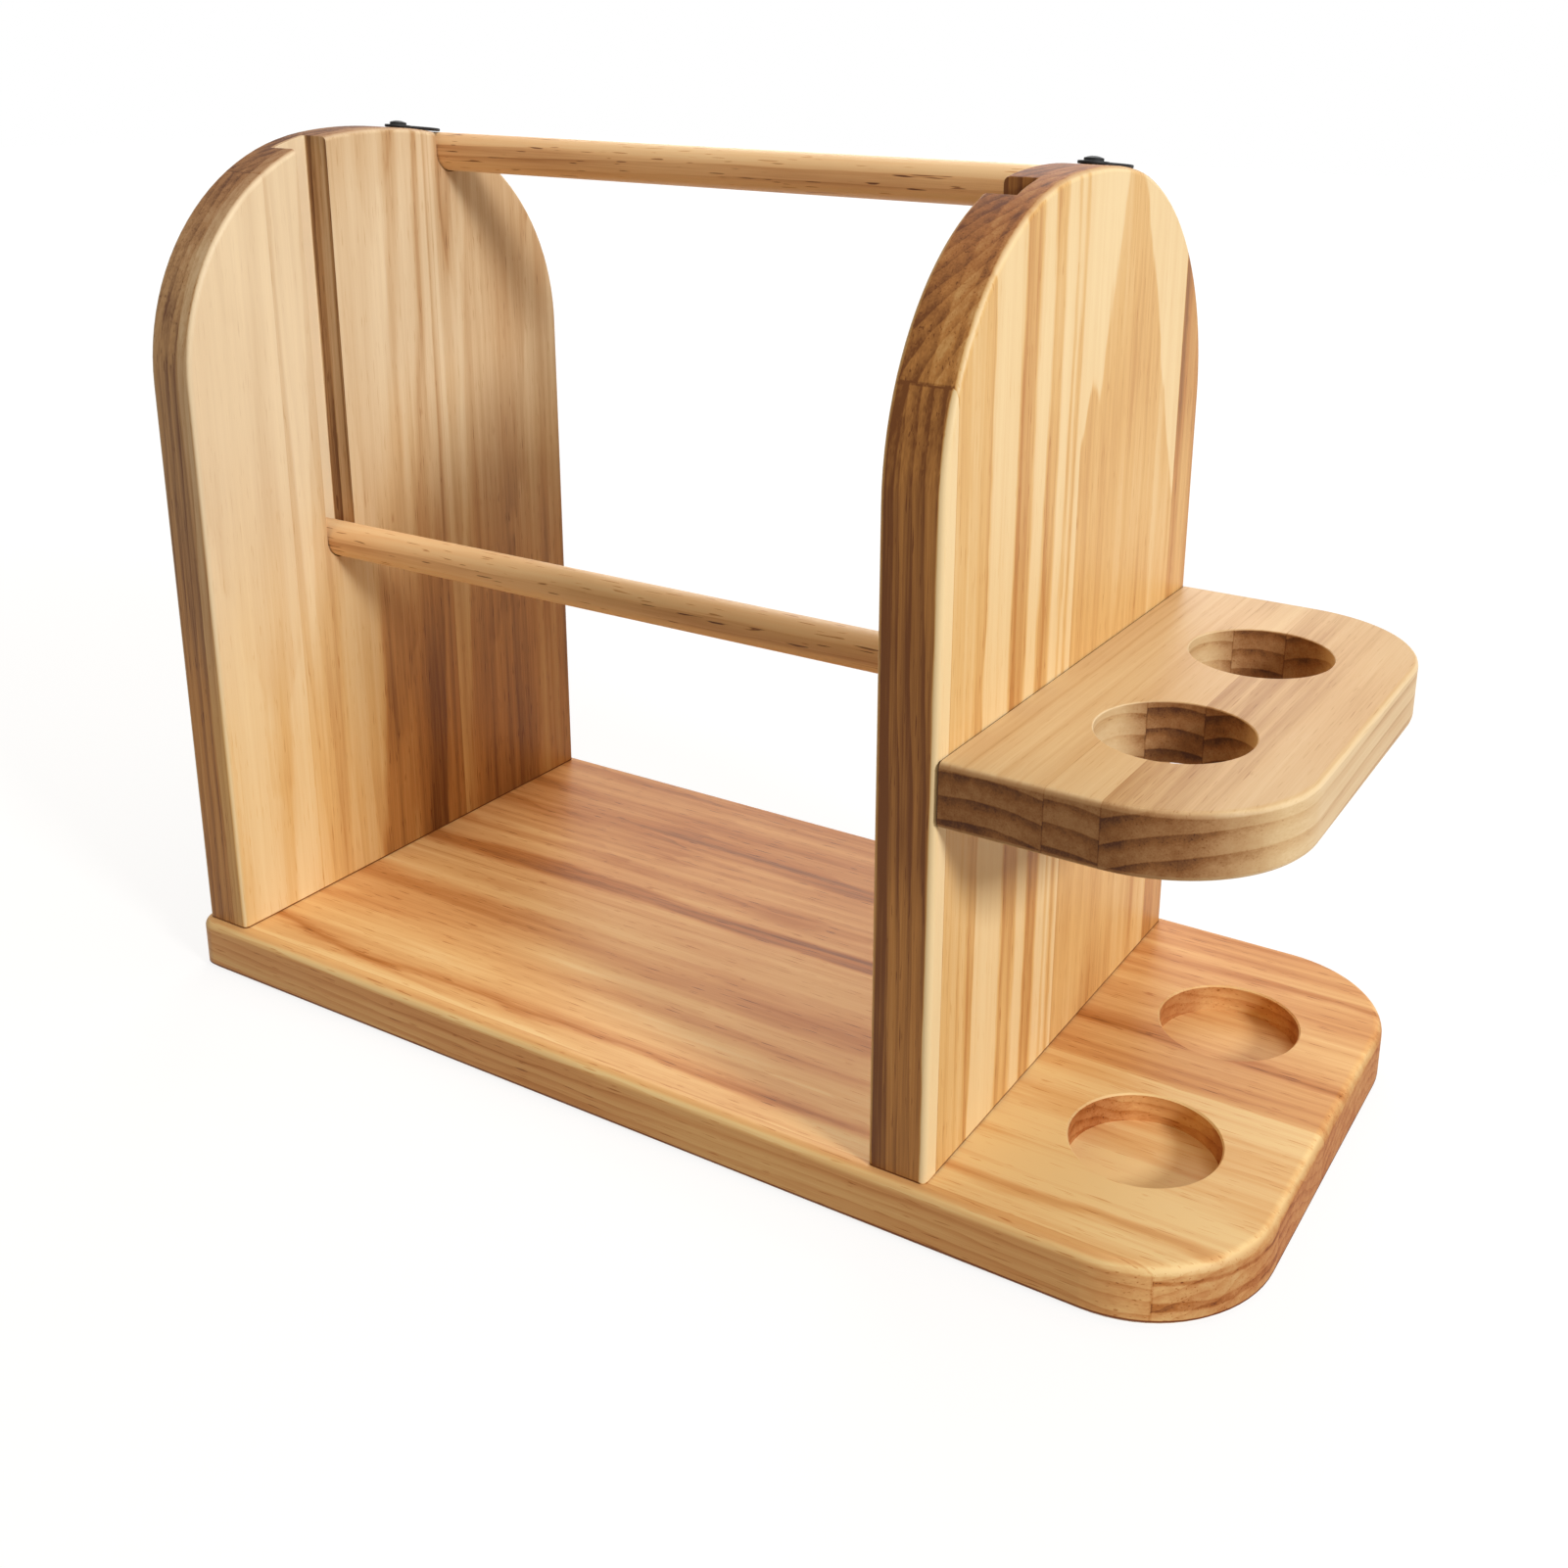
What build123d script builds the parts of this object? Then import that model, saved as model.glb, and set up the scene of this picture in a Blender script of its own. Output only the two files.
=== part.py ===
from math import asin, cos, degrees, sin, sqrt
import os

from build123d import *

os.makedirs("parts", exist_ok=True)

# A wooden table rack for spools of thread. Two arched end panels stand on a
# base board and hold two loose round rods in blind seats cut into their
# inner faces. A shelf with two through holes stands out from the right
# panel, above two matching recesses in the base, to hold cups or bottles.
#
# The frame: X runs from the spool end to the cup end, Y from front to back,
# Z up. The origin is the middle of the base board's underside. Millimetres.

# Base board
base_depth = 178.0
base_thickness = 18.0
base_end_radius = 39.0
base_corner_radius = 7.0
base_top_round = 3.0
base_foot_bevel = 1.8

# End panels
panel_thickness = 18.0
panel_height = 261.5
panel_depth = 172.0
crown_radius = 158.0
# The haunch radius is this share of half the panel's depth
haunch_radius_share = 0.872
panel_edge_bevel = 1.1
left_panel_inset = 3.5
bay_width = 245.0

# Rods and the seats that hold their ends
upper_rod_diameter = 13.0
lower_rod_diameter = 12.0
rod_end_bevel = 0.8
rod_clearance = 0.3
rod_end_clearance = 0.5
seat_depth = 10.0
upper_rod_setback = 118.9
lower_rod_setback = 55.6
lower_rod_rise = 125.2

# Cup shelf
shelf_reach = 84.5
shelf_thickness = 18.0
shelf_gap = 105.0
base_beyond_shelf = 1.0
shelf_end_radius = 41.0
shelf_edge_bevel = 1.1

# Cup holes in the shelf, and the slightly wider recesses in the base
cup_bore_diameter = 42.0
cup_foot_clearance = 0.5
cup_rim_bevel = 0.5
cup_spacing = 70.5
cup_end_distance = 43.0
cup_recess_depth = 9.0

# Swing latches over the upper rod's seats
latch_pivot_to_rod = 16.9
latch_face_inset = 7.7
latch_reach = 21.0
latch_width = 11.0
latch_waist = 4.4
latch_leaf_start = 3.0
latch_lean = 4.0
latch_eye_diameter = 9.0
latch_tip_round = 0.8
latch_waist_round = 1.0
latch_thickness = 0.9
latch_lift = 0.1
latch_rod_gap = 0.3

# Round-headed screws that the latches turn on
pivot_diameter = 3.0
pivot_length = 16.0
pivot_point_length = 3.0
pivot_head_diameter = 5.6
pivot_head_height = 1.3
pivot_head_crown = 0.6
pivot_cross_span = 3.2
pivot_cross_width = 0.7
pivot_cross_depth = 0.7
pivot_play = 0.1
pivot_head_gap = 0.1

# Countersunk screws that hold the panels to the base from below
screw_diameter = 4.0
screw_length = 40.0
screw_point_length = 5.0
screw_head_diameter = 8.0
screw_sink = 0.5
screw_spacing = 100.0
screws_per_panel = 2

# Hidden dowels between the right panel and the shelf
dowel_diameter = 8.0
dowel_in_panel = 11.0
dowel_in_shelf = 19.0
dowel_end_gap = 0.5
dowel_spacing = 62.0
dowels_in_shelf = 3

# Wood screws and dowels fill their holes but for this much all round
glue_gap = 0.05
# How far a cutting shape runs past the surface it opens
overrun = 2.0


# Where the boards stand
base_length = left_panel_inset + bay_width + 2 * panel_thickness + shelf_reach + base_beyond_shelf
base_left = -base_length / 2
base_right = base_length / 2
panel_front = -panel_depth / 2
left_outer_face = base_left + left_panel_inset
left_inner_face = left_outer_face + panel_thickness
right_inner_face = left_inner_face + bay_width
right_outer_face = right_inner_face + panel_thickness
shelf_underside = base_thickness + shelf_gap
cup_centre_x = base_right - cup_end_distance

# The arch: one wide arc over the crown, and a tighter one down each haunch
panel_top = base_thickness + panel_height
crown_centre_z = panel_top - crown_radius
haunch_radius = haunch_radius_share * panel_depth / 2
haunch_centre_y = panel_depth / 2 - haunch_radius
haunch_centre_z = crown_centre_z + sqrt((crown_radius - haunch_radius) ** 2 - haunch_centre_y**2)
haunch_join_angle = asin(haunch_centre_y / (crown_radius - haunch_radius))
haunch_join_y = crown_radius * sin(haunch_join_angle)
haunch_join_z = crown_centre_z + crown_radius * cos(haunch_join_angle)

# The latches lie flat on the crown, so each tilts back by the crown's slope
upper_rod_y = panel_front + upper_rod_setback
latch_y = upper_rod_y - latch_pivot_to_rod
latch_tilt = asin(latch_y / crown_radius)
latch_normal = Vector(0, sin(latch_tilt), cos(latch_tilt))
latch_left_x = left_inner_face - latch_face_inset
latch_right_x = right_inner_face + latch_face_inset

# Rod centres. The upper rod lies just under the closed latches.
upper_rod_radius = upper_rod_diameter / 2
lower_rod_radius = lower_rod_diameter / 2
upper_rod_reach = crown_radius + latch_lift - latch_rod_gap - upper_rod_radius
upper_rod_z = crown_centre_z + (upper_rod_reach - upper_rod_y * sin(latch_tilt)) / cos(latch_tilt)
lower_rod_y = panel_front + lower_rod_setback
lower_rod_z = base_thickness + lower_rod_rise
rod_length = bay_width + 2 * (seat_depth - rod_end_clearance)
rod_start = left_inner_face - seat_depth + rod_end_clearance

# Every screw hole in the base and the panels lies on these lines
screw_xs = [left_outer_face + panel_thickness / 2, right_inner_face + panel_thickness / 2]
screw_ys = [screw_spacing * (n - (screws_per_panel - 1) / 2) for n in range(screws_per_panel)]
screw_places = [(x, y) for x in screw_xs for y in screw_ys]
dowel_ys = [dowel_spacing * (n - (dowels_in_shelf - 1) / 2) for n in range(dowels_in_shelf)]
dowel_z = shelf_underside + shelf_thickness / 2


def pivot_plane(x, lift=0.0):
    """The plane that touches the crown at a latch screw, raised by lift."""
    foot = Vector(x, 0, crown_centre_z) + latch_normal * (crown_radius + lift)
    return Plane(origin=foot, x_dir=(1, 0, 0), z_dir=latch_normal)


# Base board, with large round corners at the cup end
with BuildPart() as base_board:
    with BuildSketch():
        Rectangle(base_length, base_depth)
    extrude(amount=base_thickness)
    uprights = base_board.edges().filter_by(Axis.Z).group_by(Axis.X)
    fillet(uprights[-1], radius=base_end_radius)
    fillet(uprights[0], radius=base_corner_radius)
    fillet(base_board.faces().sort_by(Axis.Z)[-1].edges(), radius=base_top_round)
    chamfer(base_board.faces().sort_by(Axis.Z)[0].edges(), length=base_foot_bevel)
    # The recesses that the cups stand in, below the shelf's holes
    with BuildSketch(Plane.XY.offset(base_thickness)):
        with Locations((cup_centre_x, 0)):
            with GridLocations(0, cup_spacing, 1, 2):
                Circle(cup_bore_diameter / 2 + cup_foot_clearance)
    extrude(amount=-cup_recess_depth, mode=Mode.SUBTRACT)
    rims = base_board.faces().filter_by(Axis.Z).sort_by(Axis.Z)[-1].edges().filter_by(GeomType.CIRCLE)
    chamfer(rims.filter_by(lambda rim: rim.is_closed), length=cup_rim_bevel)
    # Countersunk holes from below for the panel screws
    with Locations(*[Location((x, y, 0), (180, 0, 0)) for x, y in screw_places]):
        CounterSinkHole(
            radius=screw_diameter / 2 + glue_gap,
            counter_sink_radius=screw_head_diameter / 2 + screw_sink + glue_gap,
            depth=base_thickness,
        )


def arched_panel(outer_face, inner_face, latch_x):
    """An end panel: its arch, its two blind rod seats and its screw holes."""
    inward = 1 if inner_face > outer_face else -1
    with BuildPart() as panel:
        with BuildSketch(Plane.YZ.offset(min(outer_face, inner_face))):
            with BuildLine():
                foot = (panel_front, base_thickness)
                shoulder = (panel_front, haunch_centre_z)
                join = (-haunch_join_y, haunch_join_z)
                Line(foot, shoulder)
                RadiusArc(shoulder, join, haunch_radius)
                RadiusArc(join, (0, panel_top), crown_radius)
                mirror(about=Plane.YZ)
                Line(foot, (-panel_front, base_thickness))
            make_face()
        extrude(amount=panel_thickness)
        outlines = panel.faces().filter_by(Axis.X).edges()
        chamfer(outlines.filter_by(lambda edge: edge.center().Z > base_thickness), length=panel_edge_bevel)
        # The seats are round at the foot and open at the arch
        with BuildSketch(Plane.YZ.offset(inner_face)):
            for y, z, radius in (
                (upper_rod_y, upper_rod_z, upper_rod_radius + rod_clearance),
                (lower_rod_y, lower_rod_z, lower_rod_radius + rod_clearance),
            ):
                with Locations((y, z)):
                    Circle(radius)
                    Rectangle(2 * radius, panel_top - z + overrun, align=(Align.CENTER, Align.MIN))
        extrude(amount=-inward * seat_depth, mode=Mode.SUBTRACT)
        # Pilot holes: one under the latch, and one over each base screw
        with Locations(pivot_plane(latch_x).location):
            Hole(radius=pivot_diameter / 2 + glue_gap, depth=pivot_length)
        middle = (outer_face + inner_face) / 2
        with Locations(*[Location((middle, y, base_thickness), (180, 0, 0)) for y in screw_ys]):
            Hole(
                radius=screw_diameter / 2 + glue_gap,
                depth=screw_length + screw_sink + glue_gap - base_thickness,
            )
    return panel


left_panel = arched_panel(left_outer_face, left_inner_face, latch_left_x)
right_panel = arched_panel(right_outer_face, right_inner_face, latch_right_x)

# The right panel's outer face takes the shelf's dowels
with BuildPart() as bored_right_panel:
    add(right_panel.part)
    with BuildSketch(Plane.YZ.offset(right_outer_face)):
        with Locations(*[(y, dowel_z) for y in dowel_ys]):
            Circle(dowel_diameter / 2 + glue_gap)
    extrude(amount=-(dowel_in_panel + dowel_end_gap), mode=Mode.SUBTRACT)


def rod(y, z, diameter):
    """A loose round rod, lying between the two blind seats."""
    with BuildPart() as bar:
        with BuildSketch(Plane.YZ.offset(rod_start)):
            with Locations((y, z)):
                Circle(diameter / 2)
        extrude(amount=rod_length)
        chamfer(bar.edges().filter_by(GeomType.CIRCLE), length=rod_end_bevel)
    return bar


upper_rod = rod(upper_rod_y, upper_rod_z, upper_rod_diameter)
lower_rod = rod(lower_rod_y, lower_rod_z, lower_rod_diameter)

# Cup shelf, square against the panel and rounded at its free end
with BuildPart() as cup_shelf:
    with BuildSketch(Plane.XY.offset(shelf_underside)):
        with Locations((right_outer_face, 0)):
            Rectangle(shelf_reach, panel_depth, align=(Align.MIN, Align.CENTER))
    extrude(amount=shelf_thickness)
    fillet(cup_shelf.edges().filter_by(Axis.Z).group_by(Axis.X)[-1], radius=shelf_end_radius)
    outline = cup_shelf.faces().filter_by(Axis.Z).edges()
    free_edges = outline.filter_by(lambda edge: edge.center().X > right_outer_face + overrun)
    chamfer(free_edges, length=shelf_edge_bevel)
    with BuildSketch(Plane.XY.offset(shelf_underside)):
        with Locations((cup_centre_x, 0)):
            with GridLocations(0, cup_spacing, 1, 2):
                Circle(cup_bore_diameter / 2)
    extrude(amount=shelf_thickness, mode=Mode.SUBTRACT)
    rims = cup_shelf.edges().filter_by(GeomType.CIRCLE).filter_by(lambda rim: rim.is_closed)
    chamfer(rims, length=cup_rim_bevel)
    with BuildSketch(Plane.YZ.offset(right_outer_face)):
        with Locations(*[(y, dowel_z) for y in dowel_ys]):
            Circle(dowel_diameter / 2 + glue_gap)
    extrude(amount=dowel_in_shelf + dowel_end_gap, mode=Mode.SUBTRACT)


def swing_latch(x, lean):
    """A flat leaf with a round eye, turning on the screw through its eye."""
    with BuildPart() as latch:
        with BuildSketch(pivot_plane(x, latch_lift).rotated((0, 0, lean))) as outline:
            Circle(latch_eye_diameter / 2)
            with BuildLine():
                waist = (latch_waist / 2, latch_leaf_start)
                widest = (latch_width / 2, (latch_leaf_start + latch_reach) / 2)
                tip = (0, latch_reach)
                Line((0, latch_leaf_start), waist)
                ThreePointArc(waist, widest, tip)
                mirror(about=Plane.YZ)
            make_face()
            corners = outline.vertices().sort_by(Axis.Y)
            fillet(corners[-1], radius=latch_tip_round)
            waist_corners = outline.vertices().filter_by(lambda v: 0 < v.Y < latch_eye_diameter / 2)
            fillet(waist_corners, radius=latch_waist_round)
            Circle(pivot_diameter / 2 + pivot_play, mode=Mode.SUBTRACT)
        extrude(amount=latch_thickness)
    return latch


# Closed, each leaf leans a little towards its panel's outer face
left_latch = swing_latch(latch_left_x, latch_lean)
right_latch = swing_latch(latch_right_x, -latch_lean)

# The cross-shaped driver recess, sunk from the XY plane
with BuildPart() as cross_recess:
    with BuildSketch():
        Rectangle(pivot_cross_span, pivot_cross_width)
        Rectangle(pivot_cross_width, pivot_cross_span)
    extrude(amount=-pivot_cross_depth, taper=degrees(asin(pivot_cross_width / pivot_cross_span)))

# One latch screw, its head's underside on the XY plane and its point down
with BuildPart() as pivot_screw:
    with BuildSketch(Plane.XZ):
        with BuildLine():
            head_radius = pivot_head_diameter / 2
            dome_radius = (head_radius**2 + pivot_head_crown**2) / (2 * pivot_head_crown)
            dome_turn = degrees(asin(head_radius / dome_radius))
            dome = JernArc((0, pivot_head_height), (1, 0), dome_radius, -dome_turn)
            Polyline(
                dome @ 1,
                (head_radius, 0),
                (pivot_diameter / 2, 0),
                (pivot_diameter / 2, pivot_point_length - pivot_length),
                (0, -pivot_length),
                (0, pivot_head_height),
            )
        make_face()
    revolve(axis=Axis.Z)
    with Locations((0, 0, pivot_head_height)):
        add(cross_recess.part, mode=Mode.SUBTRACT)

head_seat = latch_lift + latch_thickness + pivot_head_gap
with BuildPart() as latch_screws:
    with Locations(
        pivot_plane(latch_left_x, head_seat).location,
        pivot_plane(latch_right_x, head_seat).location,
    ):
        add(pivot_screw.part)

# One base screw, its head's flat face on the XY plane and its point up
with BuildPart() as wood_screw:
    with BuildSketch(Plane.XZ):
        with BuildLine():
            head_depth = (screw_head_diameter - screw_diameter) / 2
            Polyline(
                (0, 0),
                (screw_head_diameter / 2, 0),
                (screw_diameter / 2, head_depth),
                (screw_diameter / 2, screw_length - screw_point_length),
                (0, screw_length),
                close=True,
            )
        make_face()
    revolve(axis=Axis.Z)

with BuildPart() as panel_screws:
    with Locations(*[(x, y, screw_sink) for x, y in screw_places]):
        add(wood_screw.part)

with BuildPart() as shelf_dowels:
    with BuildSketch(Plane.YZ.offset(right_outer_face - dowel_in_panel)):
        with Locations(*[(y, dowel_z) for y in dowel_ys]):
            Circle(dowel_diameter / 2)
    extrude(amount=dowel_in_panel + dowel_in_shelf)

subparts = {
    "base_board": base_board,
    "left_panel": left_panel,
    "right_panel": bored_right_panel,
    "upper_rod": upper_rod,
    "lower_rod": lower_rod,
    "cup_shelf": cup_shelf,
    "left_latch": left_latch,
    "right_latch": right_latch,
    "latch_screws": latch_screws,
    "panel_screws": panel_screws,
    "shelf_dowels": shelf_dowels,
}
for name, built in subparts.items():
    built.part.label = name
    export_step(built.part, f"parts/{name}.step")

print("upper rod centre", round(upper_rod_y, 2), round(upper_rod_z, 2))
print("lower rod centre", round(lower_rod_y, 2), round(lower_rod_z, 2))
print("latch pivot", round(latch_y, 2), round(crown_centre_z + crown_radius * cos(latch_tilt), 2))
print("latch tilt", round(degrees(latch_tilt), 3))
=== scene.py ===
# %% [markdown]
# # A wooden thread rack
# Two arched end panels stand on a base board and hold two loose rods for spools of thread.
# A shelf with two holes stands out from the right panel, above two recesses in the base,
# and a black swing latch lies over each end of the upper rod.
# The pieces already exist at their real size as a fixed frame. This lesson gives them the
# rounded edges, the wood and the light that the real rack has, and moves none of them.

# %% Load the frame
from math import asin, cos, pi, radians, sin, sqrt
from typing import NamedTuple

import bmesh
import bpy
from mathutils import Matrix, Vector


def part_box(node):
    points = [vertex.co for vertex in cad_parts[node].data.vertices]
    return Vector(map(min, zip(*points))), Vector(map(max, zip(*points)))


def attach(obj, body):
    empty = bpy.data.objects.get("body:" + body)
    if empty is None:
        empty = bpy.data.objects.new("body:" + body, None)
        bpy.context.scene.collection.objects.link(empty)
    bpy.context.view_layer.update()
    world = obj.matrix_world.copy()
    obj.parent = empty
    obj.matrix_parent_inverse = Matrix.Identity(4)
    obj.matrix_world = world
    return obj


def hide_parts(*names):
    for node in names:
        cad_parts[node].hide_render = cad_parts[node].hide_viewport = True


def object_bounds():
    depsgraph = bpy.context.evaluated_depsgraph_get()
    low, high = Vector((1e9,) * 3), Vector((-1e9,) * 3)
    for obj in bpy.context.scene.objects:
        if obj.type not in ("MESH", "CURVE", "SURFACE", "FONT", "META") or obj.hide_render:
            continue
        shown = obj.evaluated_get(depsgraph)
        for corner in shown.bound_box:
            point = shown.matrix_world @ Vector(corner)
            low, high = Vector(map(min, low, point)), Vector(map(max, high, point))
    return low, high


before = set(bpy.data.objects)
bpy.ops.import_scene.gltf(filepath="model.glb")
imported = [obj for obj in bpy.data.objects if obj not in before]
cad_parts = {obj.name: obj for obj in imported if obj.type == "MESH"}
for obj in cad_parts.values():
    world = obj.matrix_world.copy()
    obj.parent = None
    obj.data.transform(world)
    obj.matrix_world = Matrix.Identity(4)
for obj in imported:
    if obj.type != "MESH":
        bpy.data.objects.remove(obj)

bpy.context.view_layer.update()
frame_low, frame_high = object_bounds()
print("frame box", [round(c, 4) for c in (*frame_low, *frame_high)])

# %% [markdown]
# ## Millimetres and boxes
# Blender counts in metres, and a workshop drawing in millimetres. One small value lets every
# size below be read as on the drawing. The places come from the frame itself: the box round
# a node says where its board starts and ends.

# %% Sizes read from the frame
mm = 0.001
base_low, base_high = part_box("base_board")
left_low, left_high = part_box("left_panel")
right_low, right_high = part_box("right_panel")
shelf_low, shelf_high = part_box("cup_shelf")
upper_low, upper_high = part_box("upper_rod")
lower_low, lower_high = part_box("lower_rod")
print("panel", [round(c / mm, 1) for c in right_high - right_low], "mm")
print("shelf", [round(c / mm, 1) for c in shelf_high - shelf_low], "mm")

# %% [markdown]
# ## How a board gets its rounded edges
# A router rounds every long edge of these boards to about 1.8 mm, and the bright line that
# runs along each edge is light caught by that round. A Bevel modifier could make it, but a
# board is simple enough to draw outright: its outline is repeated at several depths, drawn
# in a little further near each face, and the rings are skinned over with four-sided faces.
# Each point of the outline carries the direction in which its edge is rounded.

# %% Skin a closed mesh over rings of points
def skin(name, rings):
    """A closed mesh: each ring is joined to the next, and the two end rings are capped."""
    mesh = bmesh.new()
    loops = [[mesh.verts.new(point) for point in ring] for ring in rings]
    count = len(rings[0])
    for near, far in zip(loops, loops[1:]):
        for i in range(count):
            j = (i + 1) % count
            mesh.faces.new((near[i], near[j], far[j], far[i]))
    mesh.faces.new(reversed(loops[0]))
    mesh.faces.new(loops[-1])
    bmesh.ops.recalc_face_normals(mesh, faces=mesh.faces)
    data = bpy.data.meshes.new(name)
    mesh.to_mesh(data)
    mesh.free()
    piece = bpy.data.objects.new(name, data)
    bpy.context.scene.collection.objects.link(piece)
    return piece


def arc(centre, radius, start, end, steps):
    """Points along an arc, in degrees, each with the direction that points out of the arc."""
    turns = [radians(start + (end - start) * i / steps) for i in range(steps + 1)]
    return [(centre[0] + radius * cos(t), centre[1] + radius * sin(t), cos(t), sin(t)) for t in turns]


edge_round = 1.8 * mm
edge_steps = 3


def rounded_board(name, outline, place, low, high):
    """A board of that outline from low to high, its long edges rounded. place makes 3-D points."""
    quarter = [pi / 2 * i / edge_steps for i in range(edge_steps + 1)]
    levels = [(1 - sin(t), low + edge_round * (1 - cos(t))) for t in quarter]
    levels += [(1 - sin(t), high - edge_round * (1 - cos(t))) for t in reversed(quarter)]
    rings = []
    for inset, level in levels:
        drawn_in = edge_round * inset
        rings.append([place(u - drawn_in * du, v - drawn_in * dv, level) for u, v, du, dv in outline])
    return skin(name, rings)


print("edges are rounded to", round(edge_round / mm, 2), "mm in", edge_steps, "steps")

# %% [markdown]
# ## Cutting and finishing a board
# The blind seats and the holes are cut with Boolean modifiers, the way a cutter takes them
# out of the wood. What it leaves is knife-sharp, so a very small bevel goes on every edge
# that turns by more than 40 degrees. Weighted normals then keep the flats flat and the
# rounds round in the light.

# %% Cutters, and the finish of the edges
overrun = 3 * mm
cutter_steps = 40


def bar(name, start, end, radius, steps=cutter_steps):
    """A round bar between two points, used as a drill."""
    start, end = Vector(start), Vector(end)
    side = (end - start).orthogonal().normalized()
    up = (end - start).normalized().cross(side)
    turns = [2 * pi * i / steps for i in range(steps)]
    circle = [radius * (cos(t) * side + sin(t) * up) for t in turns]
    return skin(name, [[start + c for c in circle], [end + c for c in circle]])


def cut(piece, cutters):
    """Takes the cutters out of the piece, and then removes them."""
    for cutter in cutters:
        boolean = piece.modifiers.new("cut", "BOOLEAN")
        boolean.operation = "DIFFERENCE"
        boolean.solver = "EXACT"
        boolean.object = cutter
    graph = bpy.context.evaluated_depsgraph_get()
    piece.data = bpy.data.meshes.new_from_object(piece.evaluated_get(graph))
    piece.modifiers.clear()
    for cutter in cutters:
        bpy.data.objects.remove(cutter)


sharp_edge_bevel = 0.2 * mm
sharp_edge_turn = radians(40)


def ease_edges(piece, width=sharp_edge_bevel, steps=2):
    """Breaks the sharp edges and shades the piece smooth."""
    bevel = piece.modifiers.new("broken edges", "BEVEL")
    bevel.width = width
    bevel.segments = steps
    bevel.limit_method = "ANGLE"
    bevel.angle_limit = sharp_edge_turn
    bevel.use_clamp_overlap = False
    for face in piece.data.polygons:
        face.use_smooth = True
    weighted = piece.modifiers.new("flat faces stay flat", "WEIGHTED_NORMAL")
    weighted.keep_sharp = False


print("cutters reach", round(overrun / mm, 2), "mm past the wood")
print("sharp edges are broken by", round(sharp_edge_bevel / mm, 2), "mm")

# %% [markdown]
# ## The arched end panels
# Seen from the end, a panel is a wide arc over the crown and a tighter arc down each haunch,
# which meet without a corner. Two radii fix the whole arch once its height and depth are
# known, so the outline below is those arcs and two straight sides.

# %% The arch
crown_radius = 158 * mm
haunch_radius_share = 0.872
panel_height = 261.5 * mm
panel_depth = right_high.y - right_low.y
panel_top = base_high.z + panel_height
haunch_radius = haunch_radius_share * panel_depth / 2
haunch_y = panel_depth / 2 - haunch_radius
crown_z = panel_top - crown_radius
haunch_z = crown_z + sqrt((crown_radius - haunch_radius) ** 2 - haunch_y**2)
join_turn = asin(haunch_y / (crown_radius - haunch_radius)) * 180 / pi
haunch_steps = 24
crown_steps = 10

arch = [(-panel_depth / 2, base_high.z, -1, 0)]
arch += arc((-haunch_y, haunch_z), haunch_radius, 180, 90 + join_turn, haunch_steps)
arch += arc((0, crown_z), crown_radius, 90 + join_turn, 90 - join_turn, crown_steps)[1:-1]
arch += arc((haunch_y, haunch_z), haunch_radius, 90 - join_turn, 0, haunch_steps)
arch += [(panel_depth / 2, base_high.z, 1, 0)]
print("arch of", len(arch), "points, haunch radius", round(haunch_radius / mm, 2), "mm")

# %% [markdown]
# ## The seats of the rods
# A rod lies in blind seats: they stop 10 mm into the 18 mm board, so that nothing shows from
# outside, and they run open up to the arch, so that the rod can be lifted out. A drill and a
# box could cut one in two goes, but a single outline does both: half a circle a little wider
# than the rod, and two straight walls up past the arch. The lower rod's seat is a long groove
# for no other reason than that it starts further down.

# %% Seat cutters
seat_depth = 10 * mm
seat_clearance = 0.3 * mm
seat_floor_steps = 20


def rod_place(low, high):
    """The radius of a rod and the middle of its end, from its box."""
    return (high.y - low.y) / 2, (low.y + high.y) / 2, (low.z + high.z) / 2


def seat_cutter(low, high, inner_face, inward):
    """Cuts one seat: a half round floor, open upwards past the arch."""
    radius, y, z = rod_place(low, high)
    floor = arc((y, z), radius + seat_clearance, 180, 360, seat_floor_steps)
    outline = [(p[0], p[1]) for p in floor]
    outline += [(outline[-1][0], panel_top + overrun), (outline[0][0], panel_top + overrun)]
    ends = (inner_face - inward * overrun, inner_face + inward * seat_depth)
    return skin("seat_cutter", [[Vector((x, *point)) for point in outline] for x in ends])


for name, box in (("upper", (upper_low, upper_high)), ("lower", (lower_low, lower_high))):
    print(name, "seat is", round(2 * (rod_place(*box)[0] + seat_clearance) / mm, 2), "mm wide")

# %% [markdown]
# ## The holes in a panel
# Two screws come up through the base into each panel, and each latch turns on a screw that
# stands square to the crown, so its hole leans a little. The holes are hidden once the rack
# is together, but they are cut all the same: the panel drawn here takes the place of the
# frame's own, and a piece that is lifted out to look at should be true inside as well.

# %% Screw holes and latch holes
hole_clearance = 0.05 * mm
screw_radius = 2 * mm
screw_offset_y = 50 * mm
screw_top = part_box("panel_screws")[1].z
pivot_radius = 1.5 * mm
pivot_tip_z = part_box("latch_screws")[0].z
pivot_y = 16.0 * mm
pivot_tilt = asin(pivot_y / crown_radius)
pivot_axis = Vector((0, sin(pivot_tilt), cos(pivot_tilt)))


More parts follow.
